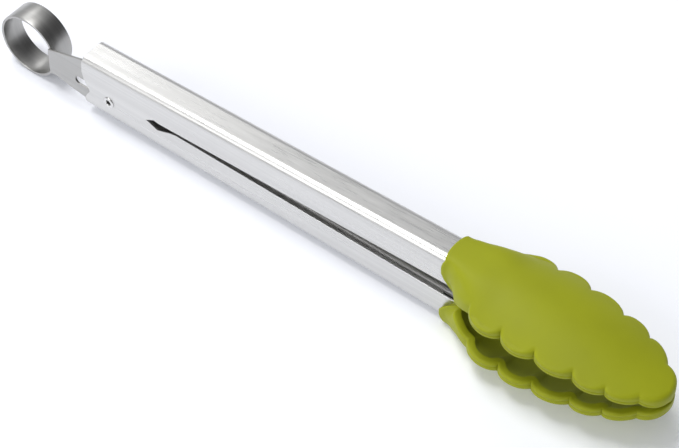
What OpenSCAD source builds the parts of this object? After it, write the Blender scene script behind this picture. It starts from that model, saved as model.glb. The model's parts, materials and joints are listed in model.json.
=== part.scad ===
// Spring loaded kitchen tongs: two steel arms with silicone heads, hinged on one hollow rivet.
// Everything is drawn about the parting plane of the closed tongs, with the rivet at x = 0,
// and lay() then sets the closed tongs down on the pull ring and the sleeve of the lower half.

/* [Arms] */
// Distance from the rivet to the tip of the heads
reach = 245; // [205:1:300]
// Outer width of the upper arm
arm_w = 13.6; // [11.2:0.1:17]
// Depth of each arm, from the wall edges to the back
arm_depth = 12.3; // [11.5:0.1:15]
// Thickness of the sheet steel
sheet = 0.7; // [0.5:0.05:0.9]
// Outer radius of the corner between back and wall
corner_r = 3.3; // [2:0.1:3.5]
// How far the backs reach behind the rivet
arm_rear = 12.4; // [11:0.1:14]
// Angle by which each arm leans away from the parting plane, in degrees
splay = 1.2; // [0.8:0.05:1.6]
// Distance from the parting plane to the upper wall edges at the rivet
upper_gap = 0.22; // [0.1:0.01:0.5]
// Distance from the parting plane to the lower wall edges at the rivet
lower_gap = 0.82; // [0.5:0.01:1.2]
// Side clearance between the walls of the two arms where they nest
nest_gap = 0.12; // [0.1:0.01:0.3]

/* [Heads] */
// Length of a head, from the edge of its sleeve to its tip
head_len = 91; // [75:1:110]
// Largest half width of a head over its lobes
head_half_w = 20.8; // [17:0.1:26]
// Silicone over the back and the walls of the arm
skin = 1.5; // [1.2:0.1:2]
// Thickness of the head on its centre line
shell = 3.9; // [3.6:0.1:5]
// Width of the rim around the hollow of a head
rim_w = 2.9; // [2.4:0.1:3.4]
// Height of the outer face of the rim
rim_h = 3.8; // [3:0.1:4.5]
// How deep the arm is moulded into its head
insert = 8.5; // [6:0.1:10]
// Height of the largest lobe of the rim
lobe_h = 4.6; // [3:0.1:5]
// Width of the stiff tongue inside a head
core_w = 5.3; // [4.5:0.1:6.5]
// Thickness of the tongue
core_t = 1.2; // [0.9:0.05:1.3]

/* [Hinge] */
// Height of the rivet's axis below the parting plane
pivot_drop = 3.1; // [2.8:0.05:3.4]
// Outer radius of the rivet's tube
rivet_r = 1.75; // [1.5:0.05:2.1]
// Radius of the hole through the rivet
rivet_bore = 1.1; // [0.9:0.05:1.2]
// Radius of the rivet's flanges
flange_r = 2.4; // [2.3:0.05:3]
// Thickness of the rivet's flanges
flange_t = 0.5; // [0.3:0.05:0.8]
// Running clearance around the rivet and beside its flanges
run_gap = 0.05; // [0.03:0.01:0.08]
// Radius of the spring wire
wire_r = 0.6; // [0.45:0.05:0.7]
// Clearance between the rivet and the spring's coil
coil_gap = 0.45; // [0.3:0.05:0.6]
// Whole turns of the coil between its two legs
coil_turns = 4; // [3:1:4]
// Length of each leg of the spring
leg_len = 38; // [25:1:50]

/* [Lock] */
// Thickness of the lock plate
plate_t = 0.9; // [0.7:0.05:1]
// Gap between the lock plate and the wall of the lower arm
plate_gap = 0.38; // [0.3:0.01:0.6]
// How far the lock slides inwards to free the arms
travel = 15; // [13:0.5:16]
// Clearance between the rivet and the slot of the plate
slot_gap = 0.1; // [0.05:0.01:0.2]
// How much further the slot runs than the lock slides
slot_spare = 1.6; // [0:0.1:2]
// Outer radius of the pull ring
ring_r = 13.65; // [11:0.05:16]
// Thickness of the ring's band
band_t = 1.1; // [0.8:0.05:1.5]
// Width of the ring's band
band_w = 10.2; // [8:0.1:10.6]
// How far the plate's tail reaches over the ring's band
ring_bite = 2.15; // [1.3:0.05:2.2]
// Height of the ring's centre below the parting plane
ring_drop = 1.6; // [0:0.1:3.1]

/* [Hidden] */
$fn = 64;
steel = [0.78, 0.78, 0.77];
lime = [0.64, 0.68, 0.2];
nylon = [0.2, 0.2, 0.2];
far = 200;

head_x = reach - head_len;
arm_end = head_x + insert;
lower_w = arm_w - 2 * (sheet + nest_gap);
hole_r = rivet_r + run_gap;

// Side outline of each arm, from the back's rear corner round by the ears, with z from the wall edge.
upper_ear = [[-arm_rear - 0.5, 5.5], [-arm_rear + 0.2, 2], [-9.6, -3.2], [-5, -6], [-1.5, -6.6],
    [8.5, -6.6], [13.2, -5.2], [19, -1.2], [22.3, 0.5], [25, 0]];
lower_ear = [[-arm_rear - 0.5, 8], [-10.2, 3.4], [-6.5, -0.6], [-4, -2.2], [9, -2.2], [14, -0.6],
    [19, 1.3], [23, 3], [29, 0.7], [32, 0]];
ear_reach = 8;

// Channel section with y across and z towards the back, open at z_low.
module channel_fill(w, z_low, depth, r) {
    translate([-w / 2, z_low])
        square([w, depth - r - z_low]);
    translate([r - w / 2, z_low])
        square([w - 2 * r, depth - z_low]);
    for (side = [-1, 1])
        translate([side * (w / 2 - r), depth - r])
            circle(r);
}

module channel(w) {
    difference() {
        channel_fill(w, -ear_reach, arm_depth, corner_r);
        channel_fill(w - 2 * sheet, -ear_reach - 1, arm_depth - sheet, corner_r - sheet);
    }
}

// Flat outline in x and z, made w wide about the middle plane.
module slab(points, w) {
    rotate([90, 0, 0])
        linear_extrude(w, center = true)
            polygon(points);
}

module along_x(x0, x1) {
    translate([x0, 0, 0])
        rotate([90, 0, 90])
            linear_extrude(x1 - x0)
                children();
}

// An arm with its wall edges on z = 0 and its back towards +z.
module arm(w, ear) {
    intersection() {
        along_x(-arm_rear - 2, arm_end)
            channel(w);
        slab(concat([[arm_end, 0], [arm_end, arm_depth + 1], [-arm_rear, arm_depth + 1]], ear), far);
    }
}

// Stations of a head run from 0 at the sleeve's edge to 1 at the tip.
function ramp(a, b, s) = let (t = min(1, max(0, (s - a) / (b - a)))) t * t * (3 - 2 * t);
sleeve_half = arm_w / 2 + skin;
sleeve_end = 0.055;
sole_end = 0.13;
rim_low = -1.5;
rim_mid = 2.4;
rim_drop = 7.4;
crown_drop = 14.2;
// How much lower a lobe at the tip would be than one at the sleeve
lobe_fall = 2.6;
// Valleys between the lobes: station and share of the largest half width.
valleys = [[0.196, 0.73], [0.358, 0.837], [0.51, 0.837], [0.67, 0.764], [0.801, 0.673], [0.9175, 0.433]];
last = len(valleys) - 1;

function lobe(k, s) = let (a = valleys[k], b = valleys[k + 1], t = (s - a[0]) / (b[0] - a[0]))
    head_half_w * (a[1] + (b[1] - a[1]) * t)
    + (lobe_h - lobe_fall * (a[0] + b[0]) / 2) * pow(max(0, 1 - pow(2 * t - 1, 2)), 0.75);
function flare(s) = let (t = (s - sleeve_end) / (valleys[0][0] - sleeve_end))
    sleeve_half + (valleys[0][1] * head_half_w - sleeve_half) * sin(90 * t);
function nose(s) = let (t = (s - valleys[last][0]) / (1 - valleys[last][0]))
    valleys[last][1] * head_half_w * sqrt(max(0, 1 - t * t));
function half_w(s) = s <= sleeve_end ? sleeve_half
    : s <= valleys[0][0] ? flare(s)
    : s >= valleys[last][0] ? nose(s)
    : [for (k = [0:last - 1]) if (s > valleys[k][0] && s <= valleys[k + 1][0]) lobe(k, s)][0];
function crown(s) = arm_depth + skin - crown_drop * pow(max(0, (s - sole_end) / (1 - sole_end)), 1.9);
function rim_z(s) = rim_low + (rim_mid - rim_low) * ramp(sleeve_end, valleys[0][0], s)
    - rim_drop * pow(max(0, (s - valleys[0][0]) / (1 - valleys[0][0])), 2);
// The section is a rounded box at the sleeve and a shallow dome over the head.
function dome(v, s) = let (k = ramp(0.03, 0.3, s)) pow(max(0, 1 - pow(abs(v), 5 - 3 * k)), 0.2 + k);

// Points across one section, over the top and back through the hollow.
across = 12;
round_r = 1.4;
function section(s) = let (
        w = half_w(s), zb = rim_z(s), ze = zb + rim_h, zc = max(crown(s), ze + 0.2),
        r = min(round_r, w / 3), e = r / 2, wo = w - r, wi = max(w - rim_w, w / 4),
        top = ze + (zc - ze) * dome(wo / w, s), fold = [w - 0.3 * r, (ze - r + 2 * top) / 3 - 0.1])
    concat(
        [[-w, zb + e], [-w, ze - r], [-fold[0], fold[1]]],
        [for (i = [0:across]) let (y = wo * sin(180 * i / across - 90)) [y, ze + (zc - ze) * dome(y / w, s)]],
        [fold, [w, ze - r], [w, zb + e], [w - e, zb]],
        [for (i = [0:across]) let (y = wi * sin(90 - 180 * i / across))
            [y, zb + max(0.02, zc - shell - zb) * dome(y / wi, s)]],
        [[-w + e, zb]]);

// Stations crowd towards the valleys, where the outline turns sharply.
lobe_steps = 7;
function bunch(t) = (1 - cos(180 * t)) / 2;
nose_stop = 0.89;
stations = concat(
    [for (i = [0:2]) sleeve_end * i / 3],
    [for (i = [0:lobe_steps - 1]) sleeve_end + (valleys[0][0] - sleeve_end) * i / lobe_steps],
    [for (k = [0:last - 1], i = [0:lobe_steps - 1])
        valleys[k][0] + (valleys[k + 1][0] - valleys[k][0]) * bunch(i / lobe_steps)],
    [for (i = [0:lobe_steps])
        valleys[last][0] + (1 - valleys[last][0]) * sin(90 * nose_stop * i / lobe_steps)]);

module skinned(rings) {
    n = len(rings[0]);
    m = len(rings);
    polyhedron(
        points = [for (ring = rings, p = ring) p],
        faces = concat(
            [[for (j = [0:n - 1]) j]],
            [for (i = [0:m - 2], j = [0:n - 1]) let (k = (j + 1) % n)
                each [[i * n + j, (i + 1) * n + j, (i + 1) * n + k],
                    [i * n + j, (i + 1) * n + k, i * n + k]]],
            [[for (j = [n - 1:-1:0]) (m - 1) * n + j]]));
}

// A head is moulded round the end of its arm and round its tongue, which it overlaps on purpose.
module head() {
    skinned([for (s = stations) [for (p = section(s)) [head_x + s * head_len, -p[0], p[1]]]]);
}

// Stiff tongue, flat under the arm's back, between its rounded corners, and then along the head.
core_start = -0.05;
core_stop = 0.8;
core_steps = 24;
module core() {
    line = [for (i = [0:core_steps]) let (s = core_start + (core_stop - core_start) * i / core_steps)
        [head_x + s * head_len, crown(s) - skin - sheet]];
    slab(concat(line, [for (i = [core_steps:-1:0]) line[i] - [0, core_t]]),
        min(core_w, lower_w - 2 * corner_r));
}

module upper_half() {
    translate([0, 0, upper_gap])
        rotate([0, -splay, 0])
            children();
}

module lower_half() {
    translate([0, 0, -lower_gap])
        rotate([0, splay, 0])
            mirror([0, 0, 1])
                children();
}

// The ring's centre lies behind the tail of the lock plate.
plate_tail = 31.8;
ring_back = plate_tail + ring_r - ring_bite;

// Laying down: the pull ring and the end of the sleeve's sole touch the surface.
sole_x = head_x + sole_end * head_len;
sole_depth = arm_depth + skin;
sole = [sole_x * cos(splay) - sole_depth * sin(splay),
    -lower_gap - sole_x * sin(splay) - sole_depth * cos(splay)];
ring_off = sole + [ring_back, ring_drop];
tilt = acos(ring_r / norm(ring_off)) - atan(-ring_off[0] / ring_off[1]);
floor_z = sole[0] * sin(tilt) + sole[1] * cos(tilt);
tip_x = reach * cos(splay) + lower_gap * sin(tilt);
mid_x = (tip_x * cos(tilt) - ring_back * cos(tilt) + ring_drop * sin(tilt) - ring_r) / 2;
module lay() {
    translate([-mid_x, 0, -floor_z])
        rotate([0, -tilt, 0])
            children();
}

// Parts on the rivet share its axis.
module at_pivot() {
    translate([0, 0, -pivot_drop])
        children();
}

module drilled() {
    difference() {
        children();
        at_pivot()
            rotate([90, 0, 0])
                cylinder(h = far, r = hole_r, center = true);
    }
}

flange_y = arm_w / 2 + run_gap;
module rivet() {
    rotate([90, 0, 0])
        rotate_extrude() {
            translate([rivet_bore, -flange_y])
                square([rivet_r - rivet_bore, 2 * flange_y]);
            for (side = [-1, 1])
                translate([rivet_bore, side > 0 ? flange_y : -flange_y - flange_t])
                    square([flange_r - rivet_bore, flange_t]);
        }
}

// Lock plate, about the rivet with the lock pulled out: a wedge whose tall part stops the arms.
plate_y = plate_gap + sheet + plate_t / 2 - lower_w / 2;
plate_line = [[-plate_tail, 7.3], [-13.6, 12.4], [-11.5, 13.9], [-7, 13.9], [1, 8], [6, 3.4], [6, -3.4], [1, -6.4],
    [-7, -7.5], [-12, -7.5], [-14.2, -7.2], [-21, -6.2], [-28.4, -4.6], [-plate_tail, -4.6]];
module plate() {
    slot_r = rivet_r + slot_gap;
    slot_run = travel + slot_spare;
    translate([0, plate_y, 0])
        rotate([90, 0, 0])
            linear_extrude(plate_t, center = true)
                difference() {
                    polygon(plate_line);
                    circle(slot_r);
                    translate([-slot_run, 0])
                        circle(slot_r);
                    translate([-slot_run, -slot_r])
                        square([slot_run, 2 * slot_r]);
                }
}

// The ring's band butts on the face of the plate that looks inwards.
ring_y = plate_y + plate_t / 2;
module ring() {
    translate([-ring_back, ring_y + band_w, -ring_drop])
        rotate([90, 0, 0])
            difference() {
                cylinder(h = band_w, r = ring_r, $fn = 128);
                translate([0, 0, -1])
                    cylinder(h = band_w + 2, r = ring_r - band_t, $fn = 128);
            }
}

// Spring: a coil on the rivet with one leg under each back. Angles are of the legs to the x axis.
coil_r = rivet_r + coil_gap + wire_r;
leg_rest = 0.15;
function leg_angle(h) = asin(h / norm([coil_r, leg_len])) - atan(coil_r / leg_len);
leg_up = leg_angle(upper_gap + arm_depth - sheet + leg_len * sin(splay) - wire_r - leg_rest + pivot_drop);
leg_down = leg_angle(lower_gap + arm_depth - sheet + leg_len * sin(splay) - wire_r - leg_rest - pivot_drop);
coil_y0 = ring_y + wire_r + 0.4;
coil_y1 = lower_w / 2 - sheet - wire_r - 0.4;
coil_from = -90 - leg_down;
coil_to = -270 + leg_up - 360 * coil_turns;
turn_steps = 24;
coil_steps = turn_steps * coil_turns + turn_steps / 2;
coil_line = [for (i = [0:coil_steps]) let (a = coil_from + (coil_to - coil_from) * i / coil_steps)
    [coil_r * cos(a), coil_y0 + (coil_y1 - coil_y0) * i / coil_steps, coil_r * sin(a)]];
spring_line = concat(
    [coil_line[0] + leg_len * [cos(leg_down), 0, -sin(leg_down)]],
    coil_line,
    [coil_line[coil_steps] + leg_len * [cos(leg_up), 0, sin(leg_up)]]);

wire_sides = 8;
function unit(v) = v / norm(v);
function heading(i) = unit(spring_line[min(i + 1, len(spring_line) - 1)] - spring_line[max(i - 1, 0)]);
module spring() {
    skinned([for (i = [0:len(spring_line) - 1])
        let (side = unit(cross(heading(i), [0, 1, 0])), up = cross(side, heading(i)))
        [for (j = [0:wire_sides - 1]) let (a = -360 * j / wire_sides)
            spring_line[i] + wire_r * (cos(a) * side + sin(a) * up)]]);
}

module lower_arm() {
    color(steel) lay() drilled() lower_half() arm(lower_w, lower_ear);
}

module upper_arm() {
    color(steel) lay() drilled() upper_half() arm(arm_w, upper_ear);
}

module lower_head() {
    color(lime) lay() lower_half() head();
}

module upper_head() {
    color(lime) lay() upper_half() head();
}

module lower_head_core() {
    color(nylon) lay() lower_half() core();
}

module upper_head_core() {
    color(nylon) lay() upper_half() core();
}

module pivot_rivet() {
    color(steel) lay() at_pivot() rivet();
}

module torsion_spring() {
    color(steel) lay() at_pivot() spring();
}

module lock_plate() {
    color(steel) lay() at_pivot() plate();
}

module pull_ring() {
    color(steel) lay() ring();
}

lower_arm();
upper_arm();
lower_head();
upper_head();
lower_head_core();
upper_head_core();
pivot_rivet();
torsion_spring();
lock_plate();
pull_ring();
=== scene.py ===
"""Spring loaded kitchen tongs: brushed steel arms, lime silicone heads, a hollow rivet and a pull lock."""

import json
import math

import bmesh
import bpy
from mathutils import Matrix, Vector


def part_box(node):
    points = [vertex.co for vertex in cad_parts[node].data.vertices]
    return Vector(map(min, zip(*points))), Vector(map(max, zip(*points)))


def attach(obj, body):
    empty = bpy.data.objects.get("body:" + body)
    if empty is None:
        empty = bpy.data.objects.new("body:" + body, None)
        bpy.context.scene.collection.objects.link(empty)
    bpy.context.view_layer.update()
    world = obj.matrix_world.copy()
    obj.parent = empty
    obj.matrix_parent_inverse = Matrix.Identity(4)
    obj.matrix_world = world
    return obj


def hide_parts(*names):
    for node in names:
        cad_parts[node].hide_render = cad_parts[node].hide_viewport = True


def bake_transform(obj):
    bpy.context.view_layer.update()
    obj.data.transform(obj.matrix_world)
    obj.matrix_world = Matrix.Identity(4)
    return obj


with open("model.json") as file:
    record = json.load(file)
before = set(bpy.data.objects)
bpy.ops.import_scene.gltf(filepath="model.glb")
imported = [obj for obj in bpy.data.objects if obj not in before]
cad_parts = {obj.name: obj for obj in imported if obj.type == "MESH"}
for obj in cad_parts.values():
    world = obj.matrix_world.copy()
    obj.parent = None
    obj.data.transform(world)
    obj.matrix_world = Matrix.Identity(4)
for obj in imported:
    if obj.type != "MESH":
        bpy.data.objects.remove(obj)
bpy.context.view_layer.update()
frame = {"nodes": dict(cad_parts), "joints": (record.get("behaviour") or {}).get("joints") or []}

MM = 0.001

# ---------------------------------------------------------------- sizes
# Millimetres, as the tongs are drawn: along them from the rivet, and upwards from the parting plane.

REACH = 245.0
ARM_WIDTH = 13.6
ARM_DEPTH = 12.3
SHEET = 0.7
SPLAY = math.radians(1.2)
UPPER_GAP = 0.22
LOWER_GAP = 0.82
ARM_ROUND = 0.16
PLATE_ROUND = 0.12

PIVOT_DROP = 3.1
RUN_GAP = 0.05
BORE = 1.1
TUBE = 1.75
FLANGE = 2.4
FLANGE_AT = ARM_WIDTH / 2 + RUN_GAP
FLANGE_THICKNESS = 0.5

WIRE_RADIUS = 0.6
COIL_GAP = 0.45
COIL_RADIUS = TUBE + COIL_GAP + WIRE_RADIUS
COIL_TURNS = 4
COIL_START = -3.0
COIL_END = 4.28
LEG_LENGTH = 38.0
LEG_REST = 0.15

RING_RADIUS = 13.65
BAND_THICKNESS = 1.1
BAND_WIDTH = 10.2
BAND_ROUND = 0.28
SEAM_ANGLE = math.radians(150)
SEAM_GAP = 0.007

# ---------------------------------------------------------------- places

joints = {j["name"]: j for j in frame["joints"]}
PIVOT = Vector(joints["arm_hinge"]["pos_m"])
SLIDE = Vector(joints["lock_slide"]["axis"]).normalized()
ACROSS = Vector((0, 1, 0))
UPWARD = SLIDE.cross(ACROSS)


def from_pivot(x, y, z):
    """A point in metres in the frame, from millimetres about the rivet's axis."""
    return PIVOT + MM * (x * SLIDE + y * ACROSS + z * UPWARD)


def place_half(half, x, y, z):
    """The same from a half's own millimetres, where z runs from its wall edges to its back."""
    along = x * math.cos(SPLAY) - z * math.sin(SPLAY)
    away = x * math.sin(SPLAY) + z * math.cos(SPLAY)
    height = away + UPPER_GAP if half == "upper" else -away - LOWER_GAP
    return from_pivot(along, y, height + PIVOT_DROP)


# ---------------------------------------------------------------- finishes


def new_material(name):
    material = bpy.data.materials.new(name)
    material.use_nodes = True
    nodes = material.node_tree.nodes
    return material, nodes, material.node_tree.links, nodes["Principled BSDF"]


def stretched_noise(nodes, links, coordinates, stretch, detail):
    """Noise on Object coordinates, with its own number of grains per metre along each axis."""
    mapping = nodes.new("ShaderNodeMapping")
    mapping.inputs["Scale"].default_value = stretch
    links.new(coordinates.outputs["Object"], mapping.inputs["Vector"])
    noise = nodes.new("ShaderNodeTexNoise")
    noise.inputs["Scale"].default_value = 1.0
    noise.inputs["Detail"].default_value = detail
    links.new(mapping.outputs["Vector"], noise.inputs["Vector"])
    return noise


def ranged(nodes, links, noise, low, high):
    """The middle of a noise's range, spread from low to high."""
    spread = nodes.new("ShaderNodeMapRange")
    for name, value in (("From Min", 0.3), ("From Max", 0.7), ("To Min", low), ("To Max", high)):
        spread.inputs[name].default_value = value
    links.new(noise.outputs["Fac"], spread.inputs["Value"])
    return spread.outputs["Result"]


def two_tones(nodes, links, shader, dark, light):
    """A mix from a dark to a light tone, joined to the shader's colour. Returns the mix."""
    shades = nodes.new("ShaderNodeMix")
    shades.data_type = "RGBA"
    shades.inputs["A"].default_value = (*dark, 1)
    shades.inputs["B"].default_value = (*light, 1)
    links.new(shades.outputs["Result"], shader.inputs["Base Color"])
    return shades


def raised_by(nodes, links, shader, noise, strength, distance):
    """Lets a noise stand out of the surface as a bump."""
    bump = nodes.new("ShaderNodeBump")
    bump.inputs["Strength"].default_value = strength
    bump.inputs["Distance"].default_value = distance
    links.new(noise.outputs["Fac"], bump.inputs["Height"])
    links.new(bump.outputs["Normal"], shader.inputs["Normal"])


CLOUD_GRAIN = (25, 60, 60)
STEEL_RELIEF = 0.000012


def brushed_steel(name, tone, rough, grain, streak=0.12):
    """Steel brushed along the axis with the fewest grains: streaks in its tone, roughness and relief."""
    material, nodes, links, shader = new_material(name)
    coordinates = nodes.new("ShaderNodeTexCoord")
    fine = stretched_noise(nodes, links, coordinates, grain, 4.0)
    wide = stretched_noise(nodes, links, coordinates, [g / 5 for g in grain], 2.0)
    cloud = stretched_noise(nodes, links, coordinates, CLOUD_GRAIN, 2.0)
    shader.inputs["Metallic"].default_value = 1.0

    dark = [c * (1 - streak) for c in tone]
    light = [min(1, c * (1 + streak / 2)) for c in tone]
    shades = two_tones(nodes, links, shader, dark, light)
    both = nodes.new("ShaderNodeMath")
    both.operation = "MULTIPLY_ADD"
    both.inputs[1].default_value = 0.5
    links.new(ranged(nodes, links, fine, 0.0, 1.0), both.inputs[0])
    links.new(ranged(nodes, links, wide, 0.0, 0.5), both.inputs[2])
    links.new(both.outputs[0], shades.inputs["Factor"])

    roughness = nodes.new("ShaderNodeMath")
    roughness.operation = "ADD"
    links.new(ranged(nodes, links, fine, rough - 0.05, rough + 0.05), roughness.inputs[0])
    links.new(ranged(nodes, links, cloud, -0.03, 0.05), roughness.inputs[1])
    links.new(roughness.outputs[0], shader.inputs["Roughness"])
    raised_by(nodes, links, shader, fine, 1.0, STEEL_RELIEF)
    return material


MOULD_CLOUD = (45, 45, 45)
MOTTLE = 0.05
MOULD_RELIEF = 0.00004
SHEEN_TINT = (0.9, 0.95, 0.7, 1)
GLOW_REACH = (1.0, 1.0, 0.25)
GLOW_DEPTH = 0.0025


def moulded(name, colour, rough, glow=0.0, sheen=0.0, grain=900):
    """Moulded rubber or plastic: faint clouds in an even colour, a fine matte skin, and soft light inside."""
    material, nodes, links, shader = new_material(name)
    coordinates = nodes.new("ShaderNodeTexCoord")
    cloud = stretched_noise(nodes, links, coordinates, MOULD_CLOUD, 3.0)
    fine = stretched_noise(nodes, links, coordinates, (grain, grain, grain), 3.0)
    dark = [c * (1 - MOTTLE) for c in colour]
    light = [c * (1 + MOTTLE) for c in colour]
    shades = two_tones(nodes, links, shader, dark, light)
    links.new(ranged(nodes, links, cloud, 0.0, 1.0), shades.inputs["Factor"])
    links.new(ranged(nodes, links, cloud, rough - 0.04, rough + 0.04), shader.inputs["Roughness"])
    raised_by(nodes, links, shader, fine, 0.5, MOULD_RELIEF)
    shader.inputs["Specular IOR Level"].default_value = 0.25
    shader.inputs["Sheen Weight"].default_value = sheen
    shader.inputs["Sheen Roughness"].default_value = 0.5
    shader.inputs["Sheen Tint"].default_value = SHEEN_TINT
    shader.inputs["Subsurface Weight"].default_value = glow
    shader.inputs["Subsurface Radius"].default_value = GLOW_REACH
    shader.inputs["Subsurface Scale"].default_value = GLOW_DEPTH
    return material


# Grains per metre: brushed along the sheet, and brushed round the band.
ALONG_GRAIN = (14, 2600, 2600)
ROUND_GRAIN = (30, 2600, 30)
RIVET_GRAIN = (300, 300, 300)
WIRE_GRAIN = (400, 400, 400)
arm_steel = brushed_steel("brushed_arm_steel", (0.66, 0.655, 0.64), 0.3, ALONG_GRAIN)
plate_steel = brushed_steel("brushed_plate_steel", (0.47, 0.465, 0.45), 0.36, ALONG_GRAIN)
ring_steel = brushed_steel("satin_ring_steel", (0.46, 0.455, 0.44), 0.34, ROUND_GRAIN)
rivet_steel = brushed_steel("rivet_steel", (0.7, 0.695, 0.68), 0.24, RIVET_GRAIN, streak=0.06)
spring_steel = brushed_steel("drawn_spring_wire", (0.5, 0.495, 0.48), 0.3, WIRE_GRAIN, streak=0.1)
silicone = moulded("lime_silicone", (0.30, 0.325, 0.004), 0.58, glow=0.14, sheen=0.06)
nylon = moulded("black_nylon", (0.03, 0.03, 0.03), 0.45, grain=500)

# ---------------------------------------------------------------- meshes


def add_object(name, mesh, material):
    mesh.materials.clear()
    mesh.materials.append(material)
    obj = bpy.data.objects.new(name, mesh)
    bpy.context.scene.collection.objects.link(obj)
    return obj


def shade(mesh, angle_deg=None):
    """Smooth shading, with sharp edges kept where faces meet at more than the angle."""
    mesh.polygons.foreach_set("use_smooth", [True] * len(mesh.polygons))
    if angle_deg is not None:
        mesh.set_sharp_from_angle(angle=math.radians(angle_deg))
    mesh.update()


def mesh_from(form, mesh, angle_deg):
    """Turns a closed form's faces outwards, writes it to the mesh and shades it."""
    bmesh.ops.recalc_face_normals(form, faces=form.faces)
    form.to_mesh(mesh)
    form.free()
    shade(mesh, angle_deg)
    return mesh


def bake(obj):
    """The object's shape with its modifiers, as a plain mesh, and the modifiers gone."""
    bpy.context.view_layer.update()
    depsgraph = bpy.context.evaluated_depsgraph_get()
    mesh = bpy.data.meshes.new_from_object(obj.evaluated_get(depsgraph), depsgraph=depsgraph)
    obj.modifiers.clear()
    obj.data = mesh
    return obj


def soft_edged(name, node, material, width):
    """A copy of a CAD node whose sheet edges are broken by a small round."""
    mesh = frame["nodes"][node].data.copy()
    form = bmesh.new()
    form.from_mesh(mesh)
    bmesh.ops.remove_doubles(form, verts=form.verts, dist=2e-6)
    bmesh.ops.dissolve_limit(form, angle_limit=math.radians(0.5), verts=form.verts, edges=form.edges)
    form.to_mesh(mesh)
    form.free()
    if mesh.has_custom_normals:
        mesh.normals_split_custom_set([(0, 0, 0)] * len(mesh.loops))
    shade(mesh)
    obj = add_object(name, mesh, material)
    bevel = obj.modifiers.new("rounding", "BEVEL")
    bevel.width = width
    bevel.segments = 2
    bevel.limit_method = "ANGLE"
    bevel.angle_limit = math.radians(35)
    bevel.use_clamp_overlap = True
    weighting = obj.modifiers.new("flat_faces_stay_flat", "WEIGHTED_NORMAL")
    weighting.mode = "FACE_AREA"
    weighting.weight = 100
    return bake(obj)


# ---------------------------------------------------------------- silicone heads
# A station s runs from 0 at the edge of the sleeve to 1 at the tip. Heights and widths are a half's own
# millimetres.

HEAD_LENGTH = 91.0
HEAD_START = REACH - HEAD_LENGTH
HALF_WIDTH = 20.8
SKIN = 1.5
SLEEVE_HALF = ARM_WIDTH / 2 + SKIN
BACK_HEIGHT = ARM_DEPTH + SKIN
SHELL = 3.9
FLARE_START = 0.02
FLARE_CURVE = 0.8
SLEEVE_END = 0.055
SOLE_END = 0.13
CROWN_DROP = 14.2
CROWN_CURVE = 1.9

# Valleys of the scalloped outline: station and share of the largest half width.
VALLEYS = [(0.196, 0.73), (0.358, 0.837), (0.51, 0.837), (0.67, 0.764), (0.801, 0.673), (0.9175, 0.433)]
LOBE_HEIGHT = 4.6
LOBE_FALL = 2.6
LOBE_CURVE = 0.75

# The smooth dome, which the outline cuts: station and half width.
DOME_WIDTHS = [(0.0, 8.3), (0.05, 8.6), (0.12, 11.7), (0.196, 15.9), (0.28, 18.5), (0.4, 19.4), (0.5, 19.3),
               (0.6, 18.5), (0.7, 17.2), (0.8, 15.4), (0.88, 13.2), (0.95, 11.0), (1.0, 9.5)]
DOME_BLUR = 0.05
DOME_TAPS = 9

RIM_HEIGHT = 3.8
RIM_WIDTH = 2.9
RIM_AT_SLEEVE = -1.5
RIM_RISE = 3.9
RIM_FALL = 7.4
RIM_ROUND = 0.9
RIM_STEP = 0.12
SLEEVE_EXTRA = 0.5
FOLD_WIDTH = 1.7
SLOPE_STEP = 0.3
SPINE_STOP = 6.0

# The moulding line round the rim's outer face.
LINE_DEPTH = 0.16
LINE_HALF = 0.17
LINE_SHARE = 0.45
LINE_FROM = 0.2
LINE_TO = 0.97

# The sleeve's edge: set back over the arm, bowed at its corners, and arched over each wall.
EDGE_SETBACK = 0.9
BOW_DEPTH = 1.1
BOW_HALF = 7.0
BOW_FROM, BOW_TO = 9.5, 12.5
ARCH_DEPTH = 7.2
ARCH_TOP = 6.5
ARCH_HEIGHT = 8.0
EDGE_HOLD = 0.11
# Its lip: how far each ring lies behind the edge, and how far it is drawn in.
LIP_RINGS = ((0.5, 0.55), (0.42, 0.25), (0.2, 0.06))
LIP_CENTRE = Vector((0, 6.0))

# Steps along the outline, and points across a row.
SLEEVE_STEPS, FLARE_STEPS, LOBE_STEPS, NOSE_STEPS = 10, 16, 22, 26
DOME_STEPS, FOLD_STEPS, LINE_POINTS, ROUND_STEPS, HOLLOW_STEPS = 22, 9, 3, 6, 16
OUTER_POINTS = DOME_STEPS + FOLD_STEPS + LINE_POINTS + ROUND_STEPS


def ramp(a, b, s):
    t = min(1.0, max(0.0, (s - a) / (b - a)))
    return t * t * (3 - 2 * t)


def station(x):
    return min(1.0, max(0.0, (x - HEAD_START) / HEAD_LENGTH))


def outline_half_width(s):
    """Half width of the scalloped outline."""
    first, last = VALLEYS[0], VALLEYS[-1]
    if s <= first[0]:
        flare = ramp(FLARE_START, first[0], s) ** FLARE_CURVE
        return SLEEVE_HALF + (first[1] * HALF_WIDTH - SLEEVE_HALF) * flare
    if s >= last[0]:
        t = min(1.0, (s - last[0]) / (1 - last[0]))
        return last[1] * HALF_WIDTH * math.sqrt(1 - t * t)
    a, b = next((a, b) for a, b in zip(VALLEYS, VALLEYS[1:]) if s <= b[0])
    t = (s - a[0]) / (b[0] - a[0])
    swell = max(0.0, 1 - (2 * t - 1) ** 2) ** LOBE_CURVE
    height = LOBE_HEIGHT - LOBE_FALL * (a[0] + b[0]) / 2
    return HALF_WIDTH * (a[1] + (b[1] - a[1]) * t) + height * swell


def crown(s):
    """Height of the head's back along the spine."""
    return BACK_HEIGHT - CROWN_DROP * max(0.0, (s - SOLE_END) / (1 - SOLE_END)) ** CROWN_CURVE


def rim_low(s):
    """Height of the rim's lower face, which rises along the flare and then curves down to the tip."""
    first = VALLEYS[0][0]
    fall = RIM_FALL * max(0.0, (s - first) / (1 - first)) ** 2
    return RIM_AT_SLEEVE + RIM_RISE * ramp(SLEEVE_END, first, s) - fall


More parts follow.
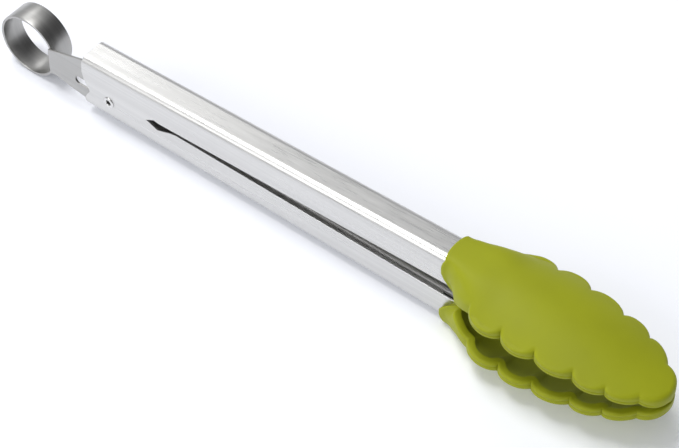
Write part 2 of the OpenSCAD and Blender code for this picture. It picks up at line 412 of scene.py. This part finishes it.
def dome_half_width(s):
    for (a, wa), (b, wb) in zip(DOME_WIDTHS, DOME_WIDTHS[1:]):
        if s <= b:
            return wa + (wb - wa) * ramp(a, b, s)
    return DOME_WIDTHS[-1][1]


def smooth_dome_width(s):
    """The dome's half width, averaged over a short stretch."""
    shifts = [DOME_BLUR * (2 * i / (DOME_TAPS - 1) - 1) for i in range(DOME_TAPS)]
    return sum(dome_half_width(min(1.0, max(0.0, s + shift))) for shift in shifts) / DOME_TAPS


def swell_across(v, s):
    """Height of the dome across a section: a rounded box at the sleeve, a shallow dome over the head."""
    k = ramp(0.03, 0.3, s)
    return max(0.0, 1 - abs(v) ** (5 - 3 * k)) ** (0.2 + 0.8 * k)


def top_height(s, y):
    low = rim_low(s) + RIM_HEIGHT
    high = max(crown(s), low + 0.2)
    return low + (high - low) * swell_across(min(1.0, abs(y) / smooth_dome_width(s)), s)


def head_outline():
    """Points along one side of the outline, crowded where it turns."""
    stations = [SLEEVE_END * i / SLEEVE_STEPS for i in range(SLEEVE_STEPS)]
    stations += [SLEEVE_END + (VALLEYS[0][0] - SLEEVE_END) * i / FLARE_STEPS for i in range(FLARE_STEPS)]
    for a, b in zip(VALLEYS, VALLEYS[1:]):
        turns = [math.pi * i / LOBE_STEPS for i in range(LOBE_STEPS)]
        stations += [a[0] + (b[0] - a[0]) * (1 - math.cos(turn)) / 2 for turn in turns]
    last = VALLEYS[-1][0]
    quarter = [math.pi / 2 * i / NOSE_STEPS for i in range(NOSE_STEPS + 1)]
    stations += [last + (1 - last) * math.sin(turn) for turn in quarter]
    return [Vector((HEAD_START + s * HEAD_LENGTH, outline_half_width(s))) for s in stations]


def outline_normals(points, passes=2):
    """Directions outwards from the outline, smoothed so that inner copies of it don't cross in the valleys."""
    normals = []
    for i in range(len(points)):
        run = points[min(i + 1, len(points) - 1)] - points[max(i - 1, 0)]
        normals.append(Vector((-run.y, run.x)).normalized())
    normals[-1] = Vector((1, 0))
    for _ in range(passes):
        middle = [(a + 2 * b + c).normalized() for a, b, c in zip(normals, normals[1:], normals[2:])]
        normals = [normals[0]] + middle + [normals[-1]]
    return normals


def on_bend(points, t):
    """A point on a cubic bend through four control points of (offset, height)."""
    shares = ((1 - t) ** 3, 3 * t * (1 - t) ** 2, 3 * t * t * (1 - t), t ** 3)
    return [sum(share * p[axis] for share, p in zip(shares, points)) for axis in (0, 1)]


def over_dome(spine_x, edge):
    """Points from the spine to the dome's edge."""
    points = []
    for k in range(DOME_STEPS):
        t = math.sin(math.pi / 2 * k / DOME_STEPS)
        x, y = spine_x + (edge.x - spine_x) * t, edge.y * t
        points.append((x, y, top_height(min(1.0, (x - HEAD_START) / HEAD_LENGTH), y)))
    return points


def fold_bend(fold, slope, z_fold, z_side):
    """Offsets and heights over the fold, from the slope of the dome to the upright side."""
    bend = [(fold, z_fold), (fold * 0.55, z_fold + slope * fold * 0.45),
            (0.0, z_side + 0.5 * (z_fold - z_side)), (0.0, z_side)]
    return [on_bend(bend, k / (FOLD_STEPS - 1)) for k in range(FOLD_STEPS)]


def moulding_line(s, z_low, z_side_low, z_side_top):
    """Offsets and heights of the shallow line round the rim, which fades out at the sleeve."""
    shown = min(1.0, max(0.0, (s - LINE_FROM) / 0.05)) if s < LINE_TO else 0
    z = min(z_side_top - 0.2, max(z_side_low + 0.2, z_low + LINE_SHARE * RIM_HEIGHT))
    return [(0.0, z + LINE_HALF), (LINE_DEPTH * shown, z), (0.0, z - LINE_HALF)]


def lower_round(size, z_side_low):
    """Offsets and heights round the rim's lower edge."""
    turns = [math.pi / 2 * k / (ROUND_STEPS - 1) for k in range(ROUND_STEPS)]
    return [(size * (1 - math.cos(a)), z_side_low - size * math.sin(a)) for a in turns]


def through_hollow(spine_x, edge, s, z_low):
    """Points from the rim's inner edge through the hollow to the spine."""
    rise = max(0.15, crown(s) - SHELL - z_low)
    points = []
    for k in range(1, HOLLOW_STEPS + 1):
        v = math.cos(math.pi / 2 * k / HOLLOW_STEPS)
        height = z_low + RIM_STEP + (rise - RIM_STEP) * swell_across(v, s)
        points.append((spine_x + (edge.x - spine_x) * v, edge.y * v, height))
    return points


def head_row(p, n):
    """A row of points on one side of the head, from the outline's point and its normal. It runs from the spine
    out over the top, down the side, in along the rim and back through the hollow to the spine."""

    def inward(offset):
        q = p - offset * n
        return q if q.y > 0 else Vector((q.x, 0.0))

    s = (p.x - HEAD_START) / HEAD_LENGTH
    spine_x = min(p.x, REACH - SPINE_STOP)
    fold = min(FOLD_WIDTH, 0.5 * p.y + 1.0)
    edge, next_in = inward(fold), inward(fold - SLOPE_STEP)
    z_fold = top_height(station(edge.x), edge.y)
    slope = min(0.0, (top_height(station(next_in.x), next_in.y) - z_fold) / SLOPE_STEP)
    z_low = rim_low(s)
    z_side_top = min(z_low + RIM_HEIGHT - 0.6, z_low + 0.75 * (z_fold - z_low))
    low_round = min(RIM_ROUND, 0.5 * p.y + 0.2)
    z_side_low = z_low + low_round
    rim = RIM_WIDTH + SLEEVE_EXTRA * (1 - ramp(0.03, 0.15, s))

    side = fold_bend(fold, slope, z_fold, z_side_top)
    side += moulding_line(s, z_low, z_side_low, z_side_top)
    side += lower_round(low_round, z_side_low)
    side += [(rim - 0.4, z_low), (rim, z_low + RIM_STEP)]
    row = over_dome(spine_x, edge)
    row += [(*inward(offset), z) for offset, z in side]
    return row + through_hollow(spine_x, inward(rim), s, z_low)


def rear_shift(y, z):
    """How far forward of the first station the sleeve's edge lies."""
    arch = ARCH_DEPTH * min(1.0, max(0.0, (ARCH_TOP - z) / ARCH_HEIGHT)) ** 1.5
    bow = BOW_DEPTH * min(1.0, abs(y) / BOW_HALF) ** 2 * ramp(BOW_FROM, BOW_TO, z)
    return EDGE_SETBACK + arch + bow


def sleeve_edge(rows):
    """Shapes the sleeve's edge over the arm and rounds its lip."""
    shaped = []
    for row in rows:
        hold = 1 - ramp(0.0, EDGE_HOLD, (row[0][0] - HEAD_START) / HEAD_LENGTH)
        shaped.append([(x + hold * rear_shift(y, z), y, z) for x, y, z in row])
    lip = []
    for behind, inset in LIP_RINGS:
        ring = []
        for x, y, z in shaped[0]:
            toward = (LIP_CENTRE - Vector((y, z))).normalized()
            ring.append((x - behind, y + toward.x * inset, z + toward.y * inset))
        lip.append(ring)
    return lip + shaped


def close_sleeve(form, ring):
    """The end face of the sleeve, between one side of its outside and its hollow."""
    inner = list(range(len(ring) - 1, OUTER_POINTS + 1, -1))
    steps = len(inner) - 1
    for step in range(steps):
        a = round(step * OUTER_POINTS / steps)
        b = round((step + 1) * OUTER_POINTS / steps)
        for k in range(a, b):
            form.faces.new((ring[k], ring[k + 1], ring[inner[step]]))
        form.faces.new((ring[b], ring[inner[step + 1]], ring[inner[step]]))
    form.faces.new(ring[OUTER_POINTS:OUTER_POINTS + 3])


def head_rows():
    points = head_outline()
    return sleeve_edge([head_row(p, n) for p, n in zip(points, outline_normals(points))])


def silicone_head(name, half):
    rows = head_rows()
    form = bmesh.new()
    sides = [[[form.verts.new(place_half(half, x, mirror * y, z)) for x, y, z in row] for row in rows]
             for mirror in (1, -1)]
    for made in sides:
        for a, b in zip(made, made[1:]):
            for k in range(len(a) - 1):
                form.faces.new((a[k], a[k + 1], b[k + 1], b[k]))
    for made in sides:
        close_sleeve(form, made[0])
    # The sides meet on the middle plane, where their points fall together.
    bmesh.ops.remove_doubles(form, verts=form.verts, dist=2e-6)
    bmesh.ops.dissolve_degenerate(form, dist=1e-7, edges=form.edges)
    return add_object(name, mesh_from(form, bpy.data.meshes.new(name), 50), silicone)


# ---------------------------------------------------------------- Geometry Nodes


def node_tree(name, sockets):
    """An empty Geometry Nodes tree with named inputs. sockets gives each input's name, kind and value."""
    tree = bpy.data.node_groups.new(name, "GeometryNodeTree")
    tree.interface.new_socket("Geometry", in_out="OUTPUT", socket_type="NodeSocketGeometry")
    for label, kind, value in sockets:
        socket = tree.interface.new_socket(label, in_out="INPUT", socket_type=kind)
        socket.default_value = value
    return tree, tree.nodes.new("NodeGroupInput"), tree.nodes.new("NodeGroupOutput")


def maths(tree, operation, *values):
    node = tree.nodes.new("ShaderNodeMath")
    node.operation = operation
    for socket, value in zip(node.inputs, values):
        if isinstance(value, (int, float)):
            socket.default_value = value
        else:
            tree.links.new(value, socket)
    return node.outputs[0]


def swept(tree, out, path, profile, material):
    """Ends a tree: the profile swept along the path, capped, and with its material."""
    sweep = tree.nodes.new("GeometryNodeCurveToMesh")
    sweep.inputs["Fill Caps"].default_value = True
    tree.links.new(path, sweep.inputs["Curve"])
    tree.links.new(profile, sweep.inputs["Profile Curve"])
    real = tree.nodes.new("GeometryNodeRealizeInstances")
    tree.links.new(sweep.outputs["Mesh"], real.inputs["Geometry"])
    painted = tree.nodes.new("GeometryNodeSetMaterial")
    painted.inputs["Material"].default_value = material
    tree.links.new(real.outputs["Geometry"], painted.inputs["Geometry"])
    tree.links.new(painted.outputs["Geometry"], out.inputs["Geometry"])


def run_tree(name, tree, values, material):
    """Runs a tree on a new object with the given inputs and bakes it to a plain mesh."""
    obj = add_object(name, bpy.data.meshes.new(name), material)
    modifier = obj.modifiers.new("build", "NODES")
    modifier.node_group = tree
    for item in tree.interface.items_tree:
        if item.item_type == "SOCKET" and item.in_out == "INPUT" and item.name in values:
            modifier[item.identifier] = values[item.name]
    bake(obj)
    if not obj.data.materials:
        obj.data.materials.append(material)
    return obj


def welded(obj, place, sharp):
    """Welds a baked mesh, puts it in place, turns its faces outwards and shades it."""
    form = bmesh.new()
    form.from_mesh(obj.data)
    bmesh.ops.remove_doubles(form, verts=form.verts, dist=1e-6)
    for v in form.verts:
        v.co = place(v.co)
    mesh_from(form, obj.data, sharp)
    return obj


def spring_tree():
    """A coil about Y with a straight leg tangent at each end, in millimetres about the rivet."""
    sizes = (("Coil radius", COIL_RADIUS), ("Wire radius", WIRE_RADIUS), ("Leg length", LEG_LENGTH),
             ("Coil start", COIL_START), ("Coil end", COIL_END), ("Angle from", 0.0), ("Angle to", 1.0),
             ("Lower leg angle", 0.1), ("Upper leg angle", 0.3))
    tree, given, out = node_tree(
        "spring_coil",
        [("Coil steps", "NodeSocketInt", 200)] + [(label, "NodeSocketFloat", value) for label, value in sizes],
    )
    put = given.outputs
    line = tree.nodes.new("GeometryNodeMeshLine")
    tree.links.new(maths(tree, "ADD", put["Coil steps"], 3), line.inputs["Count"])
    curve = tree.nodes.new("GeometryNodeMeshToCurve")
    tree.links.new(line.outputs["Mesh"], curve.inputs["Mesh"])

    # The share of the coil passed at each point. The first and the last point end the legs.
    index = tree.nodes.new("GeometryNodeInputIndex").outputs[0]
    share = maths(tree, "DIVIDE", maths(tree, "SUBTRACT", index, 1), put["Coil steps"])
    share = maths(tree, "MINIMUM", maths(tree, "MAXIMUM", share, 0), 1)
    turn = maths(tree, "SUBTRACT", put["Angle to"], put["Angle from"])
    angle = maths(tree, "MULTIPLY_ADD", turn, share, put["Angle from"])
    first = maths(tree, "LESS_THAN", index, 0.5)
    final = maths(tree, "GREATER_THAN", index, maths(tree, "ADD", put["Coil steps"], 1.5))
    lower = maths(tree, "MULTIPLY", first, put["Leg length"])
    upper = maths(tree, "MULTIPLY", final, put["Leg length"])

    def leg(part):
        down = maths(tree, "MULTIPLY", lower, maths(tree, part, put["Lower leg angle"]))
        up = maths(tree, "MULTIPLY", upper, maths(tree, part, put["Upper leg angle"]))
        return down, up

    def round_coil(part, leg_run):
        return maths(tree, "MULTIPLY_ADD", put["Coil radius"], maths(tree, part, angle), leg_run)

    down_x, up_x = leg("COSINE")
    down_z, up_z = leg("SINE")
    x = round_coil("COSINE", maths(tree, "ADD", down_x, up_x))
    z = round_coil("SINE", maths(tree, "SUBTRACT", up_z, down_z))
    width = maths(tree, "SUBTRACT", put["Coil end"], put["Coil start"])
    y = maths(tree, "MULTIPLY_ADD", width, share, put["Coil start"])
    point = tree.nodes.new("ShaderNodeCombineXYZ")
    for socket, value in zip(point.inputs, (x, y, z)):
        tree.links.new(value, socket)
    moved = tree.nodes.new("GeometryNodeSetPosition")
    tree.links.new(curve.outputs["Curve"], moved.inputs["Geometry"])
    tree.links.new(point.outputs[0], moved.inputs["Position"])
    wire = tree.nodes.new("GeometryNodeCurvePrimitiveCircle")
    wire.inputs["Resolution"].default_value = 12
    tree.links.new(put["Wire radius"], wire.inputs["Radius"])
    swept(tree, out, moved.outputs["Geometry"], wire.outputs["Curve"], spring_steel)
    return tree


def band_tree():
    """A flat band with rounded edges bent to a ring in the XY plane, open at its butt seam, in millimetres."""
    tree, given, out = node_tree(
        "ring_band",
        [("Resolution", "NodeSocketInt", 160), ("Middle radius", "NodeSocketFloat", 13.1),
         ("Band width", "NodeSocketFloat", BAND_WIDTH), ("Band thickness", "NodeSocketFloat", BAND_THICKNESS),
         ("Edge round", "NodeSocketFloat", BAND_ROUND), ("Seam angle", "NodeSocketFloat", SEAM_ANGLE),
         ("Seam gap", "NodeSocketFloat", SEAM_GAP)],
    )
    put = given.outputs
    arc = tree.nodes.new("GeometryNodeCurveArc")
    tree.links.new(put["Resolution"], arc.inputs["Resolution"])
    tree.links.new(put["Middle radius"], arc.inputs["Radius"])
    tree.links.new(maths(tree, "ADD", put["Seam angle"], put["Seam gap"]), arc.inputs["Start Angle"])
    tree.links.new(maths(tree, "MULTIPLY_ADD", put["Seam gap"], -2, 2 * math.pi), arc.inputs["Sweep Angle"])
    flat = tree.nodes.new("GeometryNodeCurvePrimitiveQuadrilateral")
    tree.links.new(put["Band thickness"], flat.inputs["Width"])
    tree.links.new(put["Band width"], flat.inputs["Height"])
    fillet = tree.nodes.new("GeometryNodeFilletCurve")
    fillet.mode = "POLY"
    fillet.inputs["Count"].default_value = 3
    tree.links.new(flat.outputs["Curve"], fillet.inputs["Curve"])
    tree.links.new(put["Edge round"], fillet.inputs["Radius"])
    swept(tree, out, arc.outputs["Curve"], fillet.outputs["Curve"], ring_steel)
    return tree


# ---------------------------------------------------------------- the lathe


def lathed(name, profile, material, steps=72):
    """A closed profile of (radius, along) in millimetres turned about the rivet's axis."""
    form = bmesh.new()
    rings = []
    for k in range(steps):
        a = 2 * math.pi * k / steps
        rings.append([form.verts.new(from_pivot(r * math.cos(a), y, r * math.sin(a))) for r, y in profile])
    for a, b in zip(rings, rings[1:] + rings[:1]):
        for k in range(len(profile)):
            n = (k + 1) % len(profile)
            form.faces.new((a[k], a[n], b[n], b[k]))
    return add_object(name, mesh_from(form, bpy.data.meshes.new(name), 40), material)


def rolled_flange(side):
    """Points round one rolled flange, from the bore outwards."""
    inner = FLANGE_AT
    outer = FLANGE_AT + FLANGE_THICKNESS
    arc = [(BORE, inner - 0.2), (BORE + 0.03, outer - 0.32), (BORE + 0.14, outer - 0.12),
           (BORE + 0.34, outer - 0.02), (BORE + 0.5, outer), (FLANGE - 0.42, outer - 0.04),
           (FLANGE - 0.18, outer - 0.15), (FLANGE - 0.04, outer - 0.32), (FLANGE, inner + 0.06),
           (FLANGE - 0.05, inner), (TUBE, inner)]
    points = [(r, side * y) for r, y in arc]
    return points if side > 0 else points[::-1]


# ---------------------------------------------------------------- pieces

for node in ("lower_head_core", "upper_head_core"):
    frame["nodes"][node].data.materials.clear()
    frame["nodes"][node].data.materials.append(nylon)

for half in ("upper", "lower"):
    arm = soft_edged(f"{half}_arm_channel", f"{half}_arm", arm_steel, ARM_ROUND * MM)
    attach(arm, f"{half}_arm")
    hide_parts(f"{half}_arm")
    head = silicone_head(f"{half}_silicone_head", half)
    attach(head, f"{half}_arm")
    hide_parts(f"{half}_head")

plate = soft_edged("lock_plate_blank", "lock_plate", plate_steel, PLATE_ROUND * MM)
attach(plate, "lock")
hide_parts("lock_plate")

# Pull ring, with its butt seam at the back and high.
ring_low, ring_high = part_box("pull_ring")
ring_centre = (ring_low + ring_high) / 2
ring = run_tree("pull_ring_band", band_tree(), {
    "Resolution": 180, "Middle radius": RING_RADIUS - BAND_THICKNESS / 2, "Band width": BAND_WIDTH,
    "Band thickness": BAND_THICKNESS, "Edge round": BAND_ROUND, "Seam angle": SEAM_ANGLE, "Seam gap": SEAM_GAP,
}, ring_steel)
welded(ring, lambda v: ring_centre + MM * (v.x * SLIDE + v.z * ACROSS + v.y * UPWARD), 40)
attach(ring, "lock")
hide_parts("pull_ring")

# Hollow rivet, its two flanges rolled over.
rivet = lathed("pivot_rivet_rolled", rolled_flange(1) + rolled_flange(-1), rivet_steel)
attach(rivet, "pivot")
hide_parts("pivot_rivet")


# Torsion spring: its lower leg ends just inside the back of the lower arm and its upper leg just inside the
# back of the upper one.
def leg_angle(height):
    """The lean of a leg, tangent to the coil, whose end lies at a height above the rivet's axis."""
    return math.asin(height / math.hypot(COIL_RADIUS, LEG_LENGTH)) - math.atan(COIL_RADIUS / LEG_LENGTH)


leg_reach = ARM_DEPTH - SHEET + LEG_LENGTH * math.sin(SPLAY) - WIRE_RADIUS - LEG_REST
upper_leg = leg_angle(UPPER_GAP + leg_reach + PIVOT_DROP)
lower_leg = leg_angle(LOWER_GAP + leg_reach - PIVOT_DROP)
spring = run_tree("torsion_spring_wire", spring_tree(), {
    "Coil steps": 48 * COIL_TURNS + 24, "Coil radius": COIL_RADIUS, "Wire radius": WIRE_RADIUS,
    "Leg length": LEG_LENGTH, "Coil start": COIL_START, "Coil end": COIL_END,
    "Angle from": -math.pi / 2 - lower_leg, "Angle to": -1.5 * math.pi + upper_leg - 2 * math.pi * COIL_TURNS,
    "Lower leg angle": lower_leg, "Upper leg angle": upper_leg,
}, spring_steel)
welded(spring, lambda v: from_pivot(*v), 60)
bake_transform(spring)
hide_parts("torsion_spring")

# ---------------------------------------------------------------- floor, sky, lights and camera
# Metres.

FLOOR_HALF = 4.0
FLOOR_LEVEL = -0.0002
corners = [(-1, -1), (1, -1), (1, 1), (-1, 1)]
floor_mesh = bpy.data.meshes.new("floor")
floor_mesh.from_pydata([(FLOOR_HALF * x, FLOOR_HALF * y, FLOOR_LEVEL) for x, y in corners], [], [(0, 1, 2, 3)])
floor_paint, _, _, floor_shader = new_material("studio_floor")
floor_shader.inputs["Base Color"].default_value = (0.85, 0.86, 0.9, 1)
floor_shader.inputs["Roughness"].default_value = 0.9
floor_shader.inputs["Specular IOR Level"].default_value = 0.0
floor_shader.inputs["Emission Color"].default_value = (0.9, 0.93, 1.0, 1)
floor_shader.inputs["Emission Strength"].default_value = 0.13
add_object("studio_floor", floor_mesh, floor_paint)

# The studio is pale all round, but dark on one side, which gives the steel its shading.
DARK_SIDE = Vector((0.62, 0.5, 0.6)).normalized()
PALE_UP_TO, PALE = 0.45, (0.74, 0.75, 0.77, 1)
DARK_FROM, DARK = 0.95, (0.08, 0.08, 0.085, 1)
world = bpy.data.worlds.new("studio")
bpy.context.scene.world = world
world.use_nodes = True
sky_nodes, sky_links = world.node_tree.nodes, world.node_tree.links
sky_way = sky_nodes.new("ShaderNodeTexCoord")
toward_dark = sky_nodes.new("ShaderNodeVectorMath")
toward_dark.operation = "DOT_PRODUCT"
toward_dark.inputs[1].default_value = DARK_SIDE
sky_links.new(sky_way.outputs["Generated"], toward_dark.inputs[0])
sky_shades = sky_nodes.new("ShaderNodeValToRGB")
for stop, position, colour in zip(sky_shades.color_ramp.elements, (PALE_UP_TO, DARK_FROM), (PALE, DARK)):
    stop.position = position
    stop.color = colour
sky_links.new(toward_dark.outputs["Value"], sky_shades.inputs["Fac"])
sky_links.new(sky_shades.outputs["Color"], sky_nodes["Background"].inputs["Color"])
sky_nodes["Background"].inputs["Strength"].default_value = 0.74


def softbox(name, position, target, size, power):
    light = bpy.data.lights.new(name, "AREA")
    light.shape = "RECTANGLE"
    light.size, light.size_y = size
    light.energy = power
    obj = bpy.data.objects.new(name, light)
    bpy.context.scene.collection.objects.link(obj)
    obj.location = position
    obj.rotation_euler = (Vector(target) - Vector(position)).to_track_quat("-Z", "Y").to_euler()


softbox("key_over_hinge", (-1.15, 0.75, 1.1), (-0.05, 0, 0), (0.5, 0.5), 1.5)
softbox("overhead", (-0.7, -0.05, 2.1), (0, 0, 0), (1.0, 0.9), 30.0)
softbox("near_fill", (-0.5, -1.5, 1.1), (0.05, 0, 0), (1.1, 0.9), 8.0)

CAMERA_AZIMUTH = math.radians(36.482)
CAMERA_ELEVATION = math.radians(48.384)
CAMERA_ROLL = math.radians(1.447)
CAMERA_DISTANCE = 0.8977
CAMERA_TARGET = Vector((0.013648, -0.004582, 0.017302))
camera_data = bpy.data.cameras.new("camera")
camera_data.sensor_width = 36.0
camera_data.lens = 132.93
camera_data.clip_start = 0.01
camera_data.clip_end = 20
camera = bpy.data.objects.new("camera", camera_data)
bpy.context.scene.collection.objects.link(camera)
outward = Vector((math.sin(CAMERA_AZIMUTH), -math.cos(CAMERA_AZIMUTH), 0))
back = math.cos(CAMERA_ELEVATION) * outward + Vector((0, 0, math.sin(CAMERA_ELEVATION)))
level = Vector((math.cos(CAMERA_AZIMUTH), math.sin(CAMERA_AZIMUTH), 0))
right = math.cos(CAMERA_ROLL) * level + math.sin(CAMERA_ROLL) * back.cross(level)
turned = Matrix((right, back.cross(right), back)).transposed().to_4x4()
camera.matrix_world = Matrix.Translation(CAMERA_TARGET + CAMERA_DISTANCE * back) @ turned
bpy.context.scene.camera = camera
bpy.context.scene.view_settings.view_transform = "Standard"
